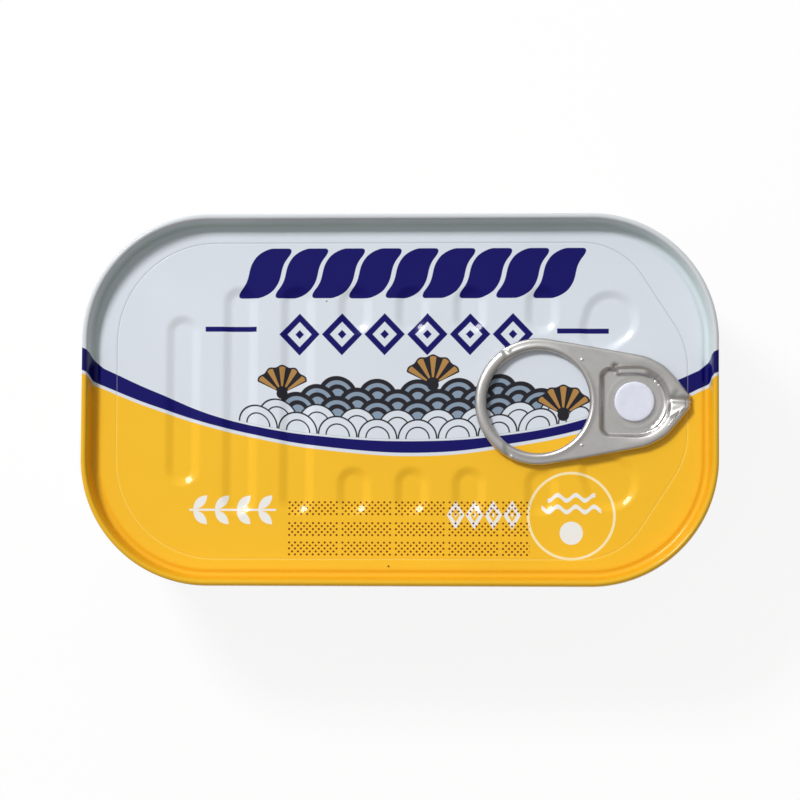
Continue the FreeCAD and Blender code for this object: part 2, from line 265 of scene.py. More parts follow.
def printShapes(tree, calc, x, y, thin, rim):
    soft = lacquer["edgeSoftness"]

    def cover(distance):
        # 1 inside a shape, 0 outside, from its signed distance
        return calc("MULTIPLY_ADD", distance, -0.5 / soft, 0.5, clamp=True)

    def both(*covers):
        total = covers[0]
        for other in covers[1:]:
            total = calc("MULTIPLY", total, other)
        return total

    def either(first, second):
        return calc("MAXIMUM", first, second)

    def away(value, middle):
        return calc("ABSOLUTE", calc("SUBTRACT", value, middle))

    def box(centre, half):
        return calc("MAXIMUM", calc("SUBTRACT", away(x, centre[0]), half[0]),
                    calc("SUBTRACT", away(y, centre[1]), half[1]))

    def length(a, b):
        return calc("SQRT", calc("ADD", calc("MULTIPLY", a, a), calc("MULTIPLY", b, b)))

    def wrapped(value, pitch):
        return calc("WRAP", value, pitch / 2, -pitch / 2)

    def curveAcross(points):
        # A smooth curve through points of x and y
        lowX, highX, lowY, highY = -62.0, 62.0, -16.0, 16.0
        node = tree.nodes.new("ShaderNodeFloatCurve")
        curve = node.mapping.curves[0]
        places = [((px - lowX) / (highX - lowX), (py - lowY) / (highY - lowY)) for px, py in points]
        curve.points[0].location = places[0]
        curve.points[1].location = places[-1]
        for place in places[1:-1]:
            curve.points.new(*place)
        node.mapping.update()
        along = calc("MULTIPLY_ADD", x, 1 / (highX - lowX), -lowX / (highX - lowX))
        feed(tree, node.inputs["Value"], along)
        return calc("MULTIPLY_ADD", node.outputs[0], highY - lowY, lowY)

    def diamond(centre, half, pitch, count, hollow):
        startX = centre[0] - pitch * count / 2
        u = calc("ABSOLUTE", wrapped(calc("SUBTRACT", x, startX + pitch / 2), pitch))
        v = away(y, centre[1])
        reach = calc("ADD", calc("DIVIDE", u, half[0]), calc("DIVIDE", v, half[1]))
        size = min(half) * lacquer["diamondSlant"]
        outline = both(cover(calc("MULTIPLY_ADD", reach, size, -size)),
                       cover(calc("MULTIPLY_ADD", reach, -size, size * hollow)))
        heart = cover(calc("MULTIPLY_ADD", reach, size, -size * hollow * lacquer["diamondHeart"]))
        zone = cover(box(centre, (pitch * count / 2, half[1] + 0.5)))
        return both(either(outline, heart), zone)

    # Fields: white above, the navy sweep, a white line, yellow below
    top = calc("MULTIPLY_ADD", calc("MINIMUM", rim, 1.0), lacquer["sweepFlare"],
               curveAcross(lacquer["sweepTop"]))
    low = curveAcross(lacquer["sweepLow"])
    underTop = cover(calc("SUBTRACT", y, top))
    underLow = cover(calc("SUBTRACT", y, low))
    underLine = cover(calc("ADD", calc("SUBTRACT", y, low), lacquer["whiteLine"]))
    colour = mixColour(tree, underTop, lacquer["white"], lacquer["navy"])
    colour = mixColour(tree, underLow, colour, lacquer["white"])
    colour = mixColour(tree, underLine, colour, lacquer["yellow"])

    # Heading: a stout rope of slanted strands
    centre, half, pitch = lacquer["ropeCentre"], lacquer["ropeHalf"], lacquer["ropePitch"]
    v = calc("SUBTRACT", y, centre[1])
    sway = calc("MULTIPLY", calc("SINE", calc("MULTIPLY", v, math.pi / half[1])), lacquer["ropeSway"])
    lean = calc("ADD", calc("MULTIPLY_ADD", v, -lacquer["ropeLean"], calc("SUBTRACT", x, centre[0])), sway)
    strand = calc("ABSOLUTE", wrapped(lean, pitch))
    roundness = lacquer["ropeRound"]
    cornerX = calc("MAXIMUM", calc("SUBTRACT", strand, pitch / 2 - lacquer["ropeGap"] / 2 - roundness), 0.0)
    cornerY = calc("MAXIMUM", calc("SUBTRACT", calc("ABSOLUTE", v), half[1] - roundness), 0.0)
    bar = cover(calc("SUBTRACT", length(cornerX, cornerY), roundness))
    rope = both(bar, cover(calc("SUBTRACT", calc("ABSOLUTE", lean), lacquer["ropeStrands"] * pitch / 2)))

    # Second row: open diamonds between two dashes
    row = diamond(lacquer["diamondCentre"], lacquer["diamondHalf"], lacquer["diamondPitch"],
                  lacquer["diamonds"], lacquer["diamondHollow"])
    navyInk = either(rope, row)
    for dash in lacquer["dashes"]:
        navyInk = either(navyInk, cover(box(dash, lacquer["dashHalf"])))
    colour = mixColour(tree, navyInk, colour, lacquer["navy"])

    # Sea swell: rows of overlapping round waves that ride on the sweep, the back row first
    radius, rise = lacquer["waveRadius"], lacquer["waveRise"]
    height = calc("SUBTRACT", calc("SUBTRACT", y, top), lacquer["swellAbove"])
    for rowIndex in reversed(range(lacquer["waveRows"])):
        shift = radius if rowIndex % 2 else 0.0
        u = wrapped(calc("SUBTRACT", x, lacquer["swellMiddle"] + shift), 2 * radius)
        w = calc("SUBTRACT", height, rowIndex * rise)
        reach = length(u, w)
        zone = cover(calc("SUBTRACT", away(x, lacquer["swellMiddle"]),
                          radius * (lacquer["wavesAcross"] - rowIndex)))
        wave = both(cover(calc("SUBTRACT", reach, radius)), zone, cover(calc("MULTIPLY", height, -1.0)))
        colour = mixColour(tree, wave, colour, lacquer["dark"])
        bands = lacquer["paleBands"] if rowIndex < lacquer["paleRows"] else lacquer["waveBands"]
        for share, tone in bands:
            inner = both(wave, cover(calc("SUBTRACT", reach, radius * share)))
            colour = mixColour(tree, inner, colour, lacquer[tone])

    # Fan shells with ribs
    for shellX, shellY, size in lacquer["shells"]:
        u = calc("SUBTRACT", x, shellX)
        w = calc("SUBTRACT", y, shellY)
        reach = length(u, w)
        angle = calc("ARCTAN2", u, w)
        ribs = calc("COSINE", calc("MULTIPLY", angle, lacquer["shellRibs"]))
        edge = calc("MULTIPLY_ADD", ribs, lacquer["ribScallop"], size)

        def within(halfTurn):
            return cover(calc("MULTIPLY", calc("SUBTRACT", calc("ABSOLUTE", angle), halfTurn), size))

        fan = both(cover(calc("SUBTRACT", reach, edge)), within(lacquer["shellTurn"]))
        hinge = cover(calc("SUBTRACT", reach, size * lacquer["hingeShare"]))
        colour = mixColour(tree, either(fan, hinge), colour, lacquer["dark"])
        inside = both(cover(calc("SUBTRACT", reach, calc("SUBTRACT", edge, lacquer["shellLine"]))),
                      within(lacquer["shellInnerTurn"]),
                      cover(calc("SUBTRACT", size * lacquer["hingeClear"], reach)),
                      cover(calc("MULTIPLY_ADD", ribs, -lacquer["ribGap"], 0.02)))
        colour = mixColour(tree, inside, colour, lacquer["ochre"])

    # White sprig and small diamonds
    u = calc("SUBTRACT", x, lacquer["sprigCentre"][0])
    v = away(y, lacquer["sprigCentre"][1])
    along = wrapped(calc("ADD", u, lacquer["leafPitch"] / 2), lacquer["leafPitch"])
    turned = math.sqrt(0.5)  # leaves stand at 45 degrees to the stem
    leafX = calc("MULTIPLY", calc("ADD", along, calc("SUBTRACT", v, lacquer["leafOut"])), turned)
    leafY = calc("MULTIPLY", calc("SUBTRACT", calc("SUBTRACT", v, lacquer["leafOut"]), along), turned)
    arch = calc("MULTIPLY_ADD", calc("MULTIPLY", leafX, leafX),
                lacquer["leafHalf"] / lacquer["leafReach"], -lacquer["leafHalf"])
    leaf = cover(calc("ADD", calc("ABSOLUTE", leafY), arch))
    stem = cover(calc("SUBTRACT", v, lacquer["stemHalf"]))
    sprig = both(either(leaf, stem), cover(calc("SUBTRACT", calc("ABSOLUTE", u), lacquer["sprigHalf"])))
    whiteInk = either(sprig, diamond(lacquer["smallDiamondCentre"], lacquer["smallDiamondHalf"],
                                     lacquer["smallDiamondPitch"], lacquer["smallDiamonds"],
                                     lacquer["smallHollow"]))

    # Roundel with two ripples over a disc
    roundX, roundY, roundRadius = lacquer["roundel"]
    u = calc("SUBTRACT", x, roundX)
    w = calc("SUBTRACT", y, roundY)
    reach = length(u, w)
    ring = cover(calc("SUBTRACT", away(reach, roundRadius), lacquer["roundelLine"] / 2))
    colour = mixColour(tree, ring, colour, lacquer["cream"])
    ripple = calc("MULTIPLY", calc("SINE", calc("MULTIPLY", u, lacquer["rippleRate"])),
                  lacquer["rippleRise"])
    for level, halfRun in lacquer["ripples"]:
        line = calc("SUBTRACT", away(calc("SUBTRACT", w, ripple), level), lacquer["rippleHalf"])
        whiteInk = either(whiteInk, both(cover(line), cover(calc("SUBTRACT", calc("ABSOLUTE", u), halfRun))))
    disc = cover(calc("SUBTRACT", length(u, calc("ADD", w, lacquer["discDrop"])), lacquer["discRadius"]))
    whiteInk = either(whiteInk, disc)
    colour = mixColour(tree, whiteInk, colour, lacquer["markWhite"])

    # Strips of small sprayed dots, staggered like a net and broken at even steps
    pitch = lacquer["dotPitch"]
    halfStrip = lacquer["dotRows"] * pitch / 2
    across = calc("DIVIDE", calc("SUBTRACT", x, lacquer["dotsLeft"]), pitch)
    column = calc("FLOOR", across)
    middleX = (lacquer["dotsLeft"] + lacquer["dotsRight"]) / 2
    halfX = (lacquer["dotsRight"] - lacquer["dotsLeft"]) / 2
    spaced = calc("LESS_THAN", calc("FLOORED_MODULO", column, lacquer["dotRun"]), lacquer["dotRunInked"])
    strips = None
    for level in lacquer["dotStrips"]:
        rise = calc("DIVIDE", calc("SUBTRACT", y, level - halfStrip), pitch)
        line = calc("FLOOR", rise)
        even = calc("LESS_THAN", calc("FLOORED_MODULO", calc("ADD", column, line), 2.0), 0.5)
        dotX = calc("SUBTRACT", calc("SUBTRACT", across, column), 0.5)
        dotY = calc("SUBTRACT", calc("SUBTRACT", rise, line), 0.5)
        dot = cover(calc("MULTIPLY", calc("SUBTRACT", length(dotX, dotY), lacquer["dotRadius"]), pitch))
        strip = both(dot, even, cover(calc("SUBTRACT", away(y, level), halfStrip)))
        strips = strip if strips is None else either(strips, strip)
    dots = both(strips, spaced, cover(calc("SUBTRACT", away(x, middleX), halfX)))
    colour = mixColour(tree, dots, colour, lacquer["brown"])

    # Two flecks of dirt
    for fleckX, fleckY, size in lacquer["specks"]:
        reach = length(calc("SUBTRACT", x, fleckX), calc("SUBTRACT", y, fleckY))
        colour = mixColour(tree, cover(calc("SUBTRACT", reach, size)), colour, lacquer["speck"])

    # The lacquer is thin in the score; the chuck wall gets painted shade, greenish on the white and brown on
    # the yellow, and the seam's crest and outside a darker tone
    scored = mixColour(tree, underLine, lacquer["thinOnWhite"], lacquer["thinOnYellow"])
    colour = mixColour(tree, calc("MULTIPLY", thin, lacquer["thinShare"]), colour, scored)
    paintedWallShade = mixColour(tree, underLine, *lacquer["paintedWallShade"])
    crestTint = mixColour(tree, underLine, *lacquer["crestTint"])
    rimShadeAndTone = mixColour(tree, calc("MINIMUM", rim, 1.0), (1, 1, 1, 1), paintedWallShade)
    rimShadeAndTone = mixColour(tree, calc("SUBTRACT", rim, 1.0, clamp=True), rimShadeAndTone, crestTint)
    return multiplied(tree, colour, rimShadeAndTone)


lacquerFinish = {
    "cloudScale": 60.0, "shades": (0.955, 1.045), "roughScale": 220.0, "rough": (0.27, 0.39),
    "specular": 0.1, "coat": 0.28, "coatRough": 0.1,
    "rippleScale": 45.0, "grainScale": 2600.0, "rippleShare": 28.0, "bump": 0.12, "bumpDepth": 0.00002,
}


def makePrintMaterial():
    material, tree, shader = newMaterial("printedEnd")
    finish = lacquerFinish
    calc = calculator(tree)
    flat = tree.nodes.new("ShaderNodeAttribute")
    flat.attribute_type = "GEOMETRY"
    flat.attribute_name = "flatPlace"
    parts = tree.nodes.new("ShaderNodeSeparateXYZ")
    tree.links.new(flat.outputs["Vector"], parts.inputs[0])
    colour = printShapes(tree, calc, parts.outputs["X"], parts.outputs["Y"],
                         meshShare(tree, "thinLacquer"), meshShare(tree, "rimShare"))
    place = objectPlace(tree)
    shade = spread(calc, noise(tree, place, finish["cloudScale"], 3.0), *finish["shades"])
    tint = tree.nodes.new("ShaderNodeVectorMath")
    tint.operation = "SCALE"
    tree.links.new(colour, tint.inputs[0])
    tree.links.new(shade, tint.inputs["Scale"])
    tree.links.new(tint.outputs[0], shader.inputs["Base Color"])
    rough = spread(calc, noise(tree, place, finish["roughScale"], 3.0), *finish["rough"])
    tree.links.new(rough, shader.inputs["Roughness"])
    shader.inputs["Specular IOR Level"].default_value = finish["specular"]
    shader.inputs["Coat Weight"].default_value = finish["coat"]
    shader.inputs["Coat Roughness"].default_value = finish["coatRough"]
    ripples = noise(tree, place, finish["rippleScale"])
    grain = noise(tree, place, finish["grainScale"])
    height = calc("MULTIPLY_ADD", ripples, finish["rippleShare"], grain)
    addBump(tree, shader, height, finish["bump"], finish["bumpDepth"])
    return material


end = {
    "length": 105.0, "width": 61.4, "cornerRadius": 21.0, "top": 28.6, "sheet": 0.25,
    "seamThickness": 1.2, "crestRadius": 0.48, "seamBottom": 25.7, "chuckFoot": 1.5, "filletRadius": 0.7,
    # Inset and height down the chuck wall
    "chuckWall": [(0.88, 28.2), (0.98, 28.05), (1.08, 27.8), (1.18, 27.4), (1.3, 26.6), (1.42, 25.95)],
    "troughZ": 25.08, "panel": 25.3, "panelEdge": 2.9, "panelRim": 0.4, "rimSteps": 208,
    "beadDepth": 0.44, "beadWall": 1.85, "beadLead": 0.25, "beadFloorEdge": 0.2, "beadSteps": 64,
    "scoreCircles": [(-30.5, 9.7, 16.5), (-30.5, -9.7, 16.5), (29.86, 14.2, 12.0), (29.86, -14.2, 12.0),
                     (33.4, 5.08, 14.0), (33.4, -5.08, 14.0)],
    "scoreHalfWidth": 0.11, "scoreDepth": 0.05, "scoreRim": 0.2,
    # Metal drawn up from the trough before the print's flare and the wall's painted shade are full, and where
    # the crest begins
    "wallTravel": 2.0, "crestTravel": 4.0, "crestFade": 0.6,
    # Maps for the bake: what is added to x and y, the side of the square, and the lift in it
    "topMap": (60.5, 38.5, 121, 0), "underMap": (60, 32, 250, 0.68),
}


def cornerCircles():
    x = end["length"] / 2 - end["cornerRadius"]
    y = end["width"] / 2 - end["cornerRadius"]
    return [(sideX * x, sideY * y, end["cornerRadius"]) for sideX in (1, -1) for sideY in (1, -1)]


def topSection():
    # Outer wall of the seam, its roll, the chuck wall, the soft trough and the edge of the panel.
    roll = end["seamThickness"] / 2
    rollZ = end["top"] - roll
    fillet, low = end["filletRadius"], end["troughZ"]
    middle = end["chuckFoot"] + fillet
    section = [(0.12, end["seamBottom"]), (0.03, end["seamBottom"] + 0.08), (0.0, end["seamBottom"] + 0.25),
               (0.0, (end["seamBottom"] + rollZ) / 2)]
    crest = end["crestRadius"]
    section += arcSection((crest, end["top"] - crest), crest, 180, 40, 14)
    section += end["chuckWall"]
    section += arcSection((middle, low + fillet), fillet, 182, 270, 9)
    for step in range(1, 9):
        share = step / 8
        section.append((middle + (end["panelEdge"] - middle) * share,
                        low + (end["panel"] - low) * share * share * (3 - 2 * share)))
    return section + [(end["panelEdge"] + end["panelRim"], end["panel"])]


def underSection():
    # The same metal from below, back from the panel to the lower lip of the seam.
    sheet = end["sheet"]
    roll = end["seamThickness"] / 2
    rollZ = end["top"] - roll
    fillet, low = end["filletRadius"], end["troughZ"]
    middle = end["chuckFoot"] + fillet
    section = [(end["panelEdge"] + end["panelRim"], end["panel"] - sheet),
               (end["panelEdge"], end["panel"] - sheet - 0.05), (middle + 0.3, low - sheet)]
    section += arcSection((middle, low + fillet), fillet + sheet, 270, 182, 9)
    section += arcSection((roll - 0.05, rollZ - 0.1), sheet, 0, 180, 8)
    section += [(sheet, end["seamBottom"] + 0.08), (0.12, end["seamBottom"])]
    return section


def beadOutlines():
    # Each bead as the circles at its two ends: long ones, pairs beside the middle, round ones by the pull.
    def upright(x, y, length, half=3.1):
        reach = length / 2 - half
        return [(x, y + reach, half), (x, y - reach, half)]
    beads = [upright(-36.0, 0.0, 28.8), upright(-26.5, 0.0, 38.5), upright(-17.0, 0.0, 38.5)]
    for side in (1, -1):
        for x in (-7.5, 2.0, 11.5, 23.4):
            beads.append(upright(x, side * 14.95, 8.6))
        beads.append([(34.7, side * 13.5, 5.0), (33.5, side * 11.8, 4.3)])
    return beads


def pressBead(bm, outline, grow, surface):
    # Nested loops carry the panel down an eased wall to the bead's floor.
    wall = end["beadWall"]
    section = [(-end["beadLead"] - grow, surface)]
    for step in range(13):
        share = step / 12
        eased = share * share * (3 - 2 * share)
        section.append((wall * share - grow, surface - end["beadDepth"] * eased))
    section.append((wall + end["beadFloorEdge"] - grow, surface - end["beadDepth"]))
    outer, inner = skinLoops(bm, outline, section, end["beadSteps"])
    fillBetween(bm, inner)
    return outer


def pressScore(bm):
    # A fine groove; the lacquer is thin along its bottom.
    thin = bm.verts.layers.float["thinLacquer"]
    half, rim = end["scoreHalfWidth"], end["scoreRim"]
    bottom = end["panel"] - end["scoreDepth"]
    section = [(-half - rim, end["panel"]), (-half, end["panel"]), (0.0, bottom),
               (half, end["panel"]), (half + rim, end["panel"])]
    before = set(bm.verts)
    loops = skinLoops(bm, end["scoreCircles"], section, end["rimSteps"])
    for vert in bm.verts:
        if vert not in before and vert.co.z < (bottom + end["panel"]) / 2:
            vert[thin] = 1.0
    return loops


def flatPlaces(bm, section):
    # Where each point lay on the flat printed sheet before the rim was drawn up out of it.
    place = bm.verts.layers.float_vector.new("flatPlace")
    rim = bm.verts.layers.float.new("rimShare")
    travelled = [0.0]
    inward = list(reversed(section))
    for near, far in zip(inward, inward[1:]):
        travelled.append(travelled[-1] + math.dist(near, far))
    startInset = inward[0][0]
    circles = cornerCircles()
    cornerX, cornerY = abs(circles[0][0]), abs(circles[0][1])
    for vert in bm.verts:
        x, y, z = vert.co
        centre = Vector((math.copysign(cornerX, x), math.copysign(cornerY, y), 0))
        spoke = Vector((x, y, 0)) - centre
        outside = abs(x) > cornerX and abs(y) > cornerY
        if outside:
            inset = end["cornerRadius"] - spoke.length
        else:
            inset = min(end["length"] / 2 - abs(x), end["width"] / 2 - abs(y))
        if inset > startInset - 0.01:  # the flat panel, with a little room for rounding
            vert[place] = (x, y, 0)
            continue
        index = min(range(len(inward)), key=lambda i: math.dist((inset, z), inward[i]))
        # 1 on the chuck wall, 2 on the seam's crest and outside
        onWall = min(travelled[index] / end["wallTravel"], 1.0)
        onCrest = max(travelled[index] - end["crestTravel"], 0.0) / end["crestFade"]
        vert[rim] = onWall + min(onCrest, 1.0)
        drawn = travelled[index] - (startInset - inset)
        if outside:
            way = spoke.normalized()
        elif end["length"] / 2 - abs(x) < end["width"] / 2 - abs(y):
            way = Vector((math.copysign(1, x), 0, 0))
        else:
            way = Vector((0, math.copysign(1, y), 0))
        vert[place] = Vector((x, y, 0)) + way * drawn
    return place


def bakeMap(bm, spotOf, addX, addY, side, lift):
    bake = bm.loops.layers.uv.new("OFBake")
    for face in bm.faces:
        for loop in face.loops:
            spot = spotOf(loop.vert)
            loop[bake].uv = ((spot.x + addX) / side, lift + (spot.y + addY) / side)


def makeEnd(material):
    circles = cornerCircles()
    top = bmesh.new()
    top.verts.layers.float.new("thinLacquer")
    section = topSection()
    panelRing = skinLoops(top, circles, section, end["rimSteps"])[1]
    scoreOuter, scoreInner = pressScore(top)
    beadRims = [pressBead(top, outline, 0.0, end["panel"]) for outline in beadOutlines()]
    fillBetween(top, panelRing, scoreOuter)
    fillBetween(top, scoreInner, *beadRims)
    place = flatPlaces(top, section)
    bakeMap(top, lambda vert: vert[place], *end["topMap"])
    topMesh = bpy.data.meshes.new("endTop")
    top.to_mesh(topMesh)
    top.free()

    under = bmesh.new()
    panelRing = skinLoops(under, circles, underSection(), end["rimSteps"])[0]
    lower = end["panel"] - end["sheet"]
    beadRims = [pressBead(under, outline, end["sheet"], lower) for outline in beadOutlines()]
    fillBetween(under, panelRing, *beadRims)
    place = under.verts.layers.float_vector.new("flatPlace")
    for vert in under.verts:
        # The hidden side takes its colour from one small spot of the print
        vert[place] = (vert.co.x * 0.02, 12.0 + vert.co.y * 0.02, 0)
    bakeMap(under, lambda vert: vert.co, *end["underMap"])
    underMesh = bpy.data.meshes.new("endUnder")
    under.to_mesh(underMesh)
    under.free()

    whole = bmesh.new()
    whole.from_mesh(topMesh)
    whole.from_mesh(underMesh)
    bpy.data.meshes.remove(topMesh)
    bpy.data.meshes.remove(underMesh)
    finishPiece(whole, "easyOpenEnd", material, "lid")


can = {
    "wallTop": 0.918, "wallFoot": 1.818, "footRadius": 2.0, "footRing": 1.2, "baseSlope": 0.8,
    "baseRise": 0.8, "stepInset": 3.0, "stepRise": 0.4, "stepRound": 0.2, "hookZ": 26.0, "underEnd": 24.1,
    "steps": 208,
}


def makeBody(material):
    foot = can["wallFoot"] + can["footRadius"]
    inner = foot + can["footRing"]
    slope = inner + can["baseSlope"]
    step = slope + can["stepInset"]
    rise, stepZ, soft = can["baseRise"], can["baseRise"] + can["stepRise"], can["stepRound"]
    section = [(step + 0.9, stepZ)]
    section += arcSection((step + 0.25, stepZ - soft), soft, 90, 180, 4)
    section += arcSection((step - 0.15, rise + soft), soft, 0, -90, 4)
    section += [(slope + 0.5, rise), (slope + 0.15, rise - 0.03), (slope - 0.05, rise - 0.12)]
    section += [(inner + 0.12, 0.12), (inner - 0.05, 0.02), (inner - 0.2, 0.0)]
    section += [(foot + 0.05, 0.0)] + arcSection((foot, can["footRadius"]), can["footRadius"], 270, 180, 12)
    lean = can["wallFoot"] - can["wallTop"]
    for share in (0.1, 0.35, 0.6, 0.85, 1.0):
        section.append((can["wallFoot"] - lean * share,
                        can["footRadius"] + (can["hookZ"] - can["footRadius"]) * share))
    section += [(1.08, can["hookZ"]), (1.25, 24.9), (1.5, 24.3), (2.05, can["underEnd"]),
                (4.5, can["underEnd"])]
    bm = bmesh.new()
    base, cap = skinLoops(bm, cornerCircles(), section, can["steps"])
    fillBetween(bm, base)
    fillBetween(bm, cap)
    finishPiece(bm, "canBody", material, "can_body")


rivet = {"x": 38.7, "shankRadius": 2.3, "headRadius": 3.3, "low": 25.2, "headLow": 25.9, "headTop": 26.35,
         "offMiddle": -0.25, "steps": 72,
         "dim": linear(214, 217, 232), "pale": linear(229, 232, 245), "rough": (0.34, 0.46), "specular": 0.3,
         "cloudScale": 900.0, "grainScale": 2400.0, "bump": 0.1, "bumpDepth": 0.00002}


def makeRivet(material):
    bm = bmesh.new()
    low, headLow, headTop = rivet["low"], rivet["headLow"], rivet["headTop"]
    shank, head = rivet["shankRadius"], rivet["headRadius"]
    profile = [(0, low), (shank, low), (shank, headLow - 0.02), (shank + 0.06, headLow),
               (head - 0.1, headLow), (head - 0.02, headLow + 0.05), (head, headLow + 0.14),
               (head - 0.01, headTop - 0.2), (head - 0.06, headTop - 0.1), (head - 0.15, headTop - 0.04),
               (head - 0.32, headTop), (head - 0.8, headTop - 0.01), (head - 1.4, headTop - 0.03),
               (0, headTop - 0.035)]
    points = [bm.verts.new((radius, 0, z)) for radius, z in profile]
    edges = [bm.edges.new(pair) for pair in zip(points, points[1:])]
    bmesh.ops.spin(bm, geom=points + edges, cent=(0, 0, 0), axis=up, dvec=(0, 0, 0),
                   angle=2 * math.pi, steps=rivet["steps"], use_merge=True)
    bmesh.ops.remove_doubles(bm, verts=bm.verts, dist=0.002)
    bmesh.ops.translate(bm, verts=bm.verts, vec=(rivet["x"], rivet["offMiddle"], 0))
    finishPiece(bm, "rivetHead", material, None)


def makeRivetMaterial():
    material, tree, shader = newMaterial("lacqueredRivet")
    calc = calculator(tree)
    place = objectPlace(tree)
    cloud = noise(tree, place, rivet["cloudScale"], 3.0)
    tree.links.new(mixColour(tree, cloud, rivet["dim"], rivet["pale"]), shader.inputs["Base Color"])
    tree.links.new(spread(calc, cloud, *rivet["rough"]), shader.inputs["Roughness"])
    shader.inputs["Specular IOR Level"].default_value = rivet["specular"]
    addBump(tree, shader, noise(tree, place, rivet["grainScale"]), rivet["bump"], rivet["bumpDepth"])
    return material


pull = {
    "ring": (22.9, 0.0, 10.45), "holeRadius": 8.5, "tip": 47.85,
    "outline": [(22.9, 0.0, 10.45), (38.2, 0.0, 7.8), (39.2, 0.0, 7.35), (47.0, 0.72, 0.85),
                (47.0, -0.78, 0.85)],
    "recess": [(34.6, 4.0, 1.7), (34.6, -4.2, 1.7), (39.0, -0.1, 5.9), (43.4, 0.0, 1.5)],
    "low": 25.6, "middle": 26.2, "land": 26.62, "top": 26.9, "floor": 25.73, "floorLow": 25.3,
    "rivetHole": 2.35, "padWall": (0.3, 0.9),
    "cutPitch": 0.3, "finePitch": 0.145, "fineFrom": 29.4,
    "steps": 216, "rivetSteps": 64, "padSteps": 96,
    # A pair of numbers is a stretch over which one shape gives way to another
    "tubePower": 2.3, "tubeFade": (17.0, 17.9),
    "edgeRound": 0.5, "holeRound": 0.8, "roundPower": 2.2, "lipRise": 0.1, "lipAway": 0.5,
    "lipWidth": 0.45, "fullness": 0.07, "fullFade": (34.0, 40.0),
    "recessWall": 0.68, "softWall": 0.5, "softAlong": (34.5, 37.5), "softAcross": (-2.5, 1.0),
    "backWall": 0.2, "backFade": (33.8, 34.6),
    # The terrace: each step's share of the depth, and how far in it begins and finishes
    "terrace": [(0.4, 0.0, 0.35), (0.6, 1.05, 1.45)], "terraceFrom": (35.4, 36.4),
    "terraceTo": (40.2, 41.8), "terraceSide": (2.4, 3.4),
    "foldRadius": 5.3, "foldRise": 0.17, "foldWidth": 0.23, "foldTurn": (0.8, 1.15),
    "markRadius": 4.3, "markRise": 0.012, "markWidth": 0.2,
    "notches": [(17.3, 8.25), (17.8, -9.05)], "notchDepth": 0.26, "notchWidth": 0.36,
    "bulgeAlong": 0.75, "bulgeOut": 1.02, "bulgeRise": 0.1, "bulgeWidth": 0.28,
    "dimples": [(30.1, 6.9), (30.1, -7.2)], "dimpleRise": 0.09, "dimpleWidth": 0.17,
    "dents": [(35.55, 5.75, 0.4, 0.42), (45.6, 1.3, 0.12, 0.5)],
    # Creases as start, finish, rise and half width: the fold of the nose, then the wrinkles beside the rivet
    "creases": [((44.9, 0.35), (48.2, 0.1), -0.42, 0.6), ((44.6, -2.3), (46.9, -1.1), 0.08, 0.3),
                ((41.9, 3.5), (42.7, 4.1), -0.07, 0.14), ((42.5, 2.9), (43.3, 3.4), -0.05, 0.12),
                ((41.9, -3.6), (42.7, -4.3), -0.07, 0.14), ((41.1, -4.3), (41.7, -5.0), -0.05, 0.12),
                ((42.6, -2.9), (43.3, -3.4), -0.04, 0.12)],
}


def depthInside(points, circles, count=240):
    # How far each point lies inside the band stretched over the circles.
    angles = np.linspace(0, 2 * math.pi, count, endpoint=False)
    ways = np.stack([np.cos(angles), np.sin(angles)])
    reach = np.max([c[0] * ways[0] + c[1] * ways[1] + c[2] for c in circles], axis=0)
    return np.min(reach - points @ ways, axis=1)


def ease(value, low, high):
    share = np.clip((value - low) / (high - low), 0, 1)
    return share * share * (3 - 2 * share)


def bell(value, width):
    return np.exp(-(value / width) ** 2)


def nearLine(points, start, finish):
    # Distance of each point from the stretch between start and finish.
    start, finish = np.array(start), np.array(finish)
    run = finish - start
    share = np.clip((points - start) @ run / (run @ run), 0, 1)
    return np.hypot(*(points - start - share[:, None] * run).T)


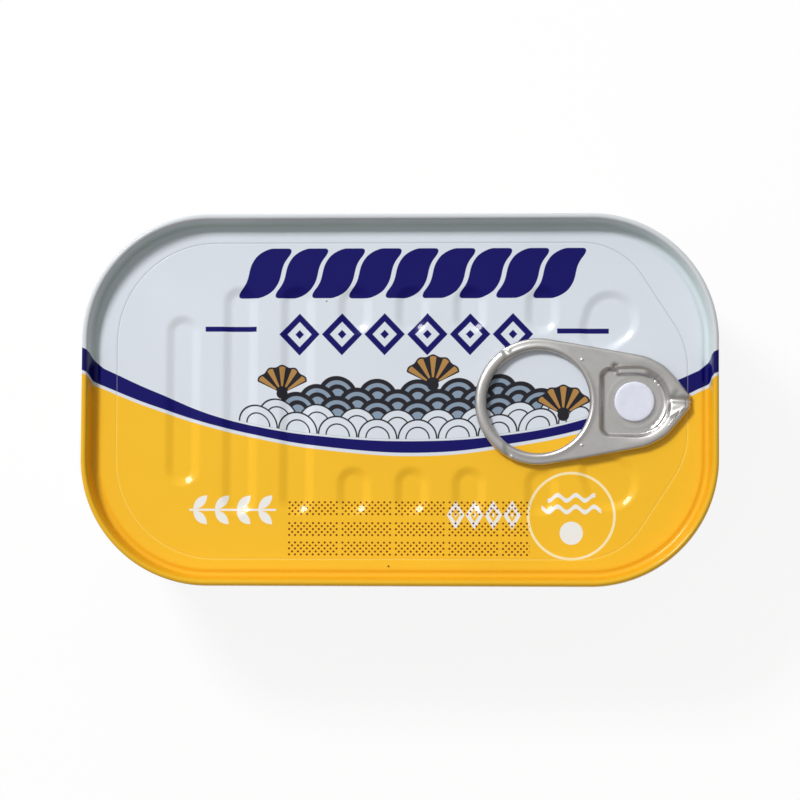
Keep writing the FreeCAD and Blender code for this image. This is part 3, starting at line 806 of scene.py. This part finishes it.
def pullHeights(points):
    x, y = points.T
    fromEdge = np.maximum(depthInside(points, pull["outline"]), 0)
    ringX, ringY = pull["ring"][:2]
    fromHole = np.maximum(np.hypot(x - ringX, y - ringY) - pull["holeRadius"], 0)
    inRecess = depthInside(points, pull["recess"])
    middle, land, top, floor = pull["middle"], pull["land"], pull["top"], pull["floor"]
    tiny = 1e-6  # keeps the divisions finite

    # Far part of the ring, curled into a tube
    across = fromEdge / np.maximum(fromEdge + fromHole, tiny)
    power = pull["tubePower"]
    tube = middle + (top - middle) * (1 - np.abs(2 * across - 1) ** power) ** (1 / power)

    # Flat land with a rounded outer edge, a stout lip round the hole, and a fuller rim by the nose
    power = pull["roundPower"]
    edge = 1 - (1 - np.clip(fromEdge / pull["edgeRound"], 0, 1)) ** power
    hole = 1 - (1 - np.clip(fromHole / pull["holeRound"], 0, 1)) ** power
    share = np.clip(fromEdge / np.maximum(fromEdge - np.minimum(inRecess, 0), tiny), 0, 1)
    full = pull["fullness"] * ease(x, *pull["fullFade"])
    flat = land + full * np.sin(math.pi * share) * (inRecess < 0)
    flat += pull["lipRise"] * bell(fromHole - pull["lipAway"], pull["lipWidth"])
    flat = middle + (flat - middle) * edge ** (1 / power) * hole ** (1 / power)

    # Sunk floor, steep at the back, with a terrace on its north side
    steep = pull["recessWall"] + pull["softWall"] * ease(x, *pull["softAlong"]) * ease(y, *pull["softAcross"])
    steep += pull["backWall"] * (1 - ease(x, *pull["backFade"]))
    sunk = ease(inRecess / steep, 0.0, 1.0)
    terrace = sum(part * ease(inRecess, near, far) for part, near, far in pull["terrace"])
    flank = ease(x, *pull["terraceFrom"]) * (1 - ease(x, *pull["terraceTo"]))
    sunk += (terrace - sunk) * flank * ease(y, *pull["terraceSide"])

    # The folded arc round the front of the rivet, and a faint mark inside it
    fromRivet = np.hypot(x - rivet["x"], y)
    turn = np.abs(np.arctan2(y, x - rivet["x"]))
    fold = pull["foldRise"] * bell(fromRivet - pull["foldRadius"], pull["foldWidth"])
    fold *= 1 - ease(turn, *pull["foldTurn"])
    mark = pull["markRise"] * bell(fromRivet - pull["markRadius"], pull["markWidth"])
    flat = flat + (floor + fold + mark - flat) * sunk

    height = tube + (flat - tube) * ease(x, *pull["tubeFade"])

    # Crumples where the tube starts, dimples, and the creases of the nose
    for nearX, nearY in pull["notches"]:
        height -= pull["notchDepth"] * bell(np.hypot(x - nearX, y - nearY), pull["notchWidth"])
        beside = np.hypot(x - nearX - pull["bulgeAlong"], y - nearY * pull["bulgeOut"])
        height += pull["bulgeRise"] * bell(beside, pull["bulgeWidth"])
    for nearX, nearY in pull["dimples"]:
        height += pull["dimpleRise"] * bell(np.hypot(x - nearX, y - nearY), pull["dimpleWidth"])
    for nearX, nearY, depth, width in pull["dents"]:
        height -= depth * bell(np.hypot(x - nearX, y - nearY), width)
    for start, finish, rise, width in pull["creases"]:
        height += rise * bell(nearLine(points, start, finish), width)
    return np.minimum(height, top)


def settleOrder(bm):
    # Extrusion hands its parts back in an order that changes from run to run, so they are sorted by place.
    slanted = Vector((1.0, 31.7, 977.3))  # two places hardly ever score the same along it
    bm.verts.sort(key=lambda vert: vert.co.dot(slanted))
    bm.edges.sort(key=lambda edge: (edge.verts[0].co + edge.verts[1].co).dot(slanted))
    bm.faces.sort(key=lambda face: face.calc_center_median().dot(slanted))


def makePull(material):
    bm = bmesh.new()
    low, middle, top = pull["low"], pull["middle"], pull["top"]
    holeCircle = [(pull["ring"][0], 0.0, pull["holeRadius"])]
    rivetCircle = [(rivet["x"], 0.0, pull["rivetHole"])]
    curl = [(0.5, low), (0.28, low + 0.07), (0.12, low + 0.2), (0.03, low + 0.37), (0.0, middle)]
    curl += [(inset, top) for inset in (0.02, 0.07, 0.15, 0.26, 0.4, 0.56, 0.73, 0.9)]
    outerLow, outerTop = skinLoops(bm, pull["outline"], curl, pull["steps"])
    holeLow, holeTop = skinLoops(bm, holeCircle, [(-inset, z) for inset, z in curl], pull["steps"])
    shaft = [(0.0, pull["floorLow"]), (0.0, top)]
    rivetLow, rivetTop = skinLoops(bm, rivetCircle, shaft, pull["rivetSteps"])
    fillBetween(bm, outerTop, holeTop, rivetTop)

    # Underside: a flat rim, and the sunk floor that lies lower, on the panel
    startIn, finishIn = pull["padWall"]
    padWall = [(startIn, low), (finishIn, pull["floorLow"])]
    padEdge, padInner = skinLoops(bm, pull["recess"], padWall, pull["padSteps"])
    fillBetween(bm, outerLow, holeLow, padEdge)
    fillBetween(bm, padInner, rivetLow)

    # Cross cuts give the upper side enough points for its pressed shapes
    pitch = pull["cutPitch"]
    left = pull["ring"][0] - pull["ring"][2]
    cutsX = [left + (cut + 0.5) * pitch for cut in range(int((pull["tip"] - left) / pitch))]
    cuts = [((x, 0, 0), (1, 0, 0), -math.inf) for x in cutsX if x < pull["fineFrom"]]
    fine, start = pull["finePitch"], pull["fineFrom"]
    cutCount = int((pull["tip"] - start) / fine)
    cuts += [((start + cut * fine, 0, 0), (1, 0, 0), start) for cut in range(cutCount)]
    halfCount = int(pull["recess"][0][1] * 2 / fine)
    cuts += [((0, (cut + 0.5) * fine, 0), (0, 1, 0), start) for cut in range(-halfCount, halfCount)]
    settleOrder(bm)
    for place, way, fromX in cuts:
        faces = [face for face in bm.faces if face.calc_center_median().z > middle
                 and face.calc_center_median().x > fromX]
        edges = dict.fromkeys(edge for face in faces for edge in face.edges)
        verts = dict.fromkeys(vert for face in faces for vert in face.verts)
        bmesh.ops.bisect_plane(bm, geom=[*verts, *edges, *faces], dist=1e-5, plane_co=place, plane_no=way)
    upper = [vert for vert in bm.verts if vert.co.z > middle - 0.001]
    points = np.array([(vert.co.x, vert.co.y) for vert in upper])
    for vert, height in zip(upper, pullHeights(points)):
        vert.co.z = height

    bmesh.ops.translate(bm, verts=bm.verts, vec=(0, rivet["offMiddle"], 0))
    settleOrder(bm)
    finishPiece(bm, "ringPull", material, "pull_tab")


metals = {
    "pullAluminium": {"pale": linear(217, 215, 213), "dark": linear(195, 193, 191), "rough": (0.28, 0.4),
                      "streaks": (1.0, 1.0, 1.0), "grainScale": 700.0},
    "drawnAluminium": {"pale": linear(202, 200, 197), "dark": linear(182, 180, 176), "rough": (0.24, 0.4),
                       "streaks": (1.0, 1.0, 0.06), "grainScale": 900.0},
    "cloudScale": 130.0, "pitScale": 3500.0, "lineShare": 1.5, "bump": 0.12, "bumpDepth": 0.00002,
}


def makeMetal(name):
    metal = metals[name]
    material, tree, shader = newMaterial(name)
    calc = calculator(tree)
    place = objectPlace(tree)
    shader.inputs["Metallic"].default_value = 1.0
    cloud = noise(tree, place, metals["cloudScale"], 4.0)
    lines = noise(tree, stretched(tree, place, metal["streaks"]), metal["grainScale"], 3.0, 0.6)
    share = calc("MULTIPLY_ADD", lines, 0.5, calc("MULTIPLY", cloud, 0.5))
    tree.links.new(mixColour(tree, share, metal["dark"], metal["pale"]), shader.inputs["Base Color"])
    tree.links.new(spread(calc, share, *metal["rough"]), shader.inputs["Roughness"])
    pits = noise(tree, place, metals["pitScale"])
    height = calc("MULTIPLY_ADD", lines, metals["lineShare"], pits)
    addBump(tree, shader, height, metals["bump"], metals["bumpDepth"])
    return material


studio = {
    # In metres and degrees, the camera's sensor in millimetres and the lamp's power in watts
    "rimHeight": 0.0286, "distance": 0.65, "tiltSouth": 5.0, "tiltEast": 4.0, "frameWidth": 0.1313,
    "aimEast": 0.0003, "aimNorth": -0.0002, "sensor": 36.0, "clipStart": 0.01,
    "keyAzimuth": 130.0, "keyElevation": 48.0, "keyDistance": 1.3, "keySize": 0.33, "keyPower": 12.4,
    "skyElevation": 36.87, "skyBright": 0.58, "skyDim": 0.05,
    "skyTones": [(1.0, 0.96, 0.88, 1), (1, 1, 1, 1)],
    "floorReach": 6.0, "floorDrop": 0.0001, "paper": (0.95, 0.95, 0.95, 1), "floorWhite": 0.88,
}


def awayFrom(azimuth, elevation):
    # A direction from its compass turn and its height in degrees.
    turn, height = math.radians(azimuth), math.radians(elevation)
    return Vector((math.cos(turn) * math.cos(height), math.sin(turn) * math.cos(height), math.sin(height)))


def makeFloor():
    grid = bmesh.new()
    bmesh.ops.create_grid(grid, x_segments=2, y_segments=2, size=studio["floorReach"])
    bmesh.ops.translate(grid, verts=grid.verts, vec=(0, 0, -studio["floorDrop"]))
    mesh = bpy.data.meshes.new("studioFloor")
    grid.to_mesh(mesh)
    grid.free()
    floor = bpy.data.objects.new("studioFloor", mesh)
    bpy.context.scene.collection.objects.link(floor)
    material = bpy.data.materials.new("palePaper")
    material.use_nodes = True
    tree = material.node_tree
    tree.nodes.clear()
    calc = calculator(tree)
    output = tree.nodes.new("ShaderNodeOutputMaterial")
    paper = tree.nodes.new("ShaderNodeBsdfDiffuse")
    paper.inputs["Color"].default_value = studio["paper"]
    plain = tree.nodes.new("ShaderNodeEmission")
    rays = tree.nodes.new("ShaderNodeLightPath")
    seen = calc("MAXIMUM", rays.outputs["Is Camera Ray"],
                calc("MAXIMUM", rays.outputs["Is Glossy Ray"], rays.outputs["Is Transmission Ray"]))
    blend = tree.nodes.new("ShaderNodeMixShader")
    tree.links.new(calc("MULTIPLY", seen, studio["floorWhite"]), blend.inputs[0])
    tree.links.new(paper.outputs[0], blend.inputs[1])
    tree.links.new(plain.outputs[0], blend.inputs[2])
    tree.links.new(blend.outputs[0], output.inputs["Surface"])
    mesh.materials.append(material)
    print("floor laid")


def makeLight():
    # A sky that is bright on the side of the lamp, and one round lamp
    world = bpy.data.worlds.new("softRoom")
    bpy.context.scene.world = world
    world.use_nodes = True
    tree = world.node_tree
    calc = calculator(tree)
    back = tree.nodes["Background"]
    towards = tree.nodes.new("ShaderNodeVectorMath")
    towards.operation = "DOT_PRODUCT"
    towards.inputs[1].default_value = awayFrom(studio["keyAzimuth"], studio["skyElevation"])
    tree.links.new(tree.nodes.new("ShaderNodeTexCoord").outputs["Generated"], towards.inputs[0])
    share = calc("MULTIPLY_ADD", towards.outputs["Value"], 0.5, 0.5, clamp=True)
    tree.links.new(mixColour(tree, share, *studio["skyTones"]), back.inputs["Color"])
    tree.links.new(spread(calc, share, studio["skyDim"], studio["skyBright"]), back.inputs["Strength"])

    way = awayFrom(studio["keyAzimuth"], studio["keyElevation"])
    light = bpy.data.lights.new("softBox", "AREA")
    light.shape = "DISK"
    light.size = studio["keySize"]
    light.energy = studio["keyPower"]
    lamp = bpy.data.objects.new("softBox", light)
    lamp.location = way * studio["keyDistance"]
    lamp.rotation_euler = way.to_track_quat("Z", "Y").to_euler()
    bpy.context.scene.collection.objects.link(lamp)
    print("light set")


def makeCamera():
    south, east = math.radians(studio["tiltSouth"]), math.radians(studio["tiltEast"])
    aim = Vector((studio["aimEast"], studio["aimNorth"], studio["rimHeight"]))
    facing = Vector((math.tan(east), -math.tan(south), 1)).normalized()
    camera = bpy.data.cameras.new("overheadCamera")
    camera.sensor_width = studio["sensor"]
    camera.lens = studio["sensor"] * studio["distance"] / studio["frameWidth"]
    camera.clip_start = studio["clipStart"]
    viewer = bpy.data.objects.new("overheadCamera", camera)
    viewer.location = aim + facing * studio["distance"]
    upWay = facing.cross(Vector((1, 0, 0))).normalized()
    right = upWay.cross(facing).normalized()
    viewer.rotation_euler = Matrix((right, upWay, facing)).transposed().to_euler()
    bpy.context.scene.collection.objects.link(viewer)
    bpy.context.scene.camera = viewer
    bpy.context.scene.view_settings.view_transform = "Standard"
    print("camera set")


makeEnd(makePrintMaterial())
makeRivet(makeRivetMaterial())
makePull(makeMetal("pullAluminium"))
makeBody(makeMetal("drawnAluminium"))
makeFloor()
makeLight()
makeCamera()
